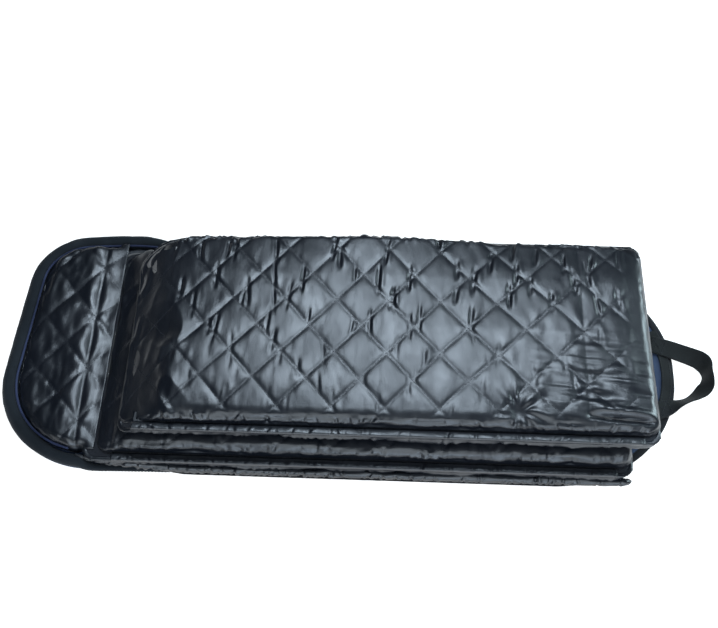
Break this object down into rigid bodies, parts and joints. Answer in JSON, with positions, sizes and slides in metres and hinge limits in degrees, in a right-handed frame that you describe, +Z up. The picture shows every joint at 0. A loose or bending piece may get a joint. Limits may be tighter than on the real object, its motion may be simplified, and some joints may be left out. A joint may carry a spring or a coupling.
{
  "type": "folding solar blanket",
  "caption": "Padded solar blanket folded flat: quilted satin panels stacked like an accordion on a cloth base with a rounded nose flap and a webbing carry loop.",
  "frame": {"origin": "centre of the bounding box of the folded blanket, on the surface that it lies on", "axes": "+X along the folds from the rounded nose to the carry loop; +Y from the front folds to the back; +Z up"},
  "size_m": [0.92, 0.35, 0.0848],
  "materials": {
    "satin": "quilted satin, glossy",
    "base_cloth": "matte brushed cloth",
    "rim_cloth": "matte brushed cloth",
    "piping": "woven piping",
    "wadding": "polyester wadding",
    "face_cloth": "woven polyester",
    "tape": "woven hinge tape",
    "webbing": "ribbed webbing",
    "thread": "sewing thread",
    "board": "foamed sheet",
    "backsheet": "matte",
    "cell": "coated silicon",
    "ribbon": "tinned",
    "film": "textured clear film",
    "black_plastic": "moulded",
    "lead_copper": "flat conductor",
    "screw_steel": "plain"
  },
  "bodies": {
    "base": {"base_cloth": "base_cloth", "base_rim": "rim_cloth", "tail_webbing": "webbing", "loop_stitches": "thread", "quilt_cover_1": "satin", "wadding_1": "wadding", "face_cloth_1": "face_cloth", "stiffener_board_1": "board", "backsheet_1": "backsheet", "solar_cells_1": "cell", "cell_ribbons_1": "ribbon", "front_film_1": "film", "diode_box_1": "black_plastic", "flat_leads_1": "lead_copper", "junction_box": "black_plastic", "junction_lid": "black_plastic", "junction_screws": "screw_steel", "output_socket": "black_plastic"},
    "panel_2": {"quilt_cover_2": "satin", "wadding_2": "wadding", "face_cloth_2": "face_cloth", "stiffener_board_2": "board", "backsheet_2": "backsheet", "solar_cells_2": "cell", "cell_ribbons_2": "ribbon", "front_film_2": "film", "diode_box_2": "black_plastic", "flat_leads_2": "lead_copper", "fold_tape_front_lower": "tape"},
    "panel_3": {"quilt_cover_3": "satin", "wadding_3": "wadding", "face_cloth_3": "face_cloth", "stiffener_board_3": "board", "backsheet_3": "backsheet", "solar_cells_3": "cell", "cell_ribbons_3": "ribbon", "front_film_3": "film", "diode_box_3": "black_plastic", "flat_leads_3": "lead_copper", "fold_tape_back": "tape"},
    "panel_4": {"quilt_cover_4": "satin", "wadding_4": "wadding", "face_cloth_4": "face_cloth", "stiffener_board_4": "board", "backsheet_4": "backsheet", "solar_cells_4": "cell", "cell_ribbons_4": "ribbon", "front_film_4": "film", "diode_box_4": "black_plastic", "flat_leads_4": "lead_copper", "fold_tape_front_upper": "tape"},
    "nose_flap": {"flap_cloth": "base_cloth", "flap_rim": "rim_cloth", "flap_piping": "piping", "flap_quilt_cover": "satin", "flap_wadding": "wadding"},
    "loop": {"carry_loop": "webbing"}
  },
  "joints": [
    {"name": "front_fold_lower", "type": "hinge", "parent": "base", "child": "panel_2", "pos_m": [0, -0.171, 0.0233], "axis": [1, 0, 0], "range_deg": [0, 180]},
    {"name": "back_fold", "type": "hinge", "parent": "panel_2", "child": "panel_3", "pos_m": [0, 0.15, 0.0439], "axis": [-1, 0, 0], "range_deg": [0, 180]},
    {"name": "front_fold_upper", "type": "hinge", "parent": "panel_3", "child": "panel_4", "pos_m": [0, -0.147, 0.0645], "axis": [1, 0, 0], "range_deg": [0, 180]},
    {"name": "nose_fold", "type": "hinge", "parent": "base", "child": "nose_flap", "pos_m": [-0.337, 0, 0.0233], "axis": [0, 1, 0], "range_deg": [0, 90]},
    {"name": "loop_swing", "type": "hinge", "parent": "base", "child": "loop", "pos_m": [0.41, -0.006, 0.004], "axis": [0, -1, 0], "range_deg": [0, 90]}
  ]
}
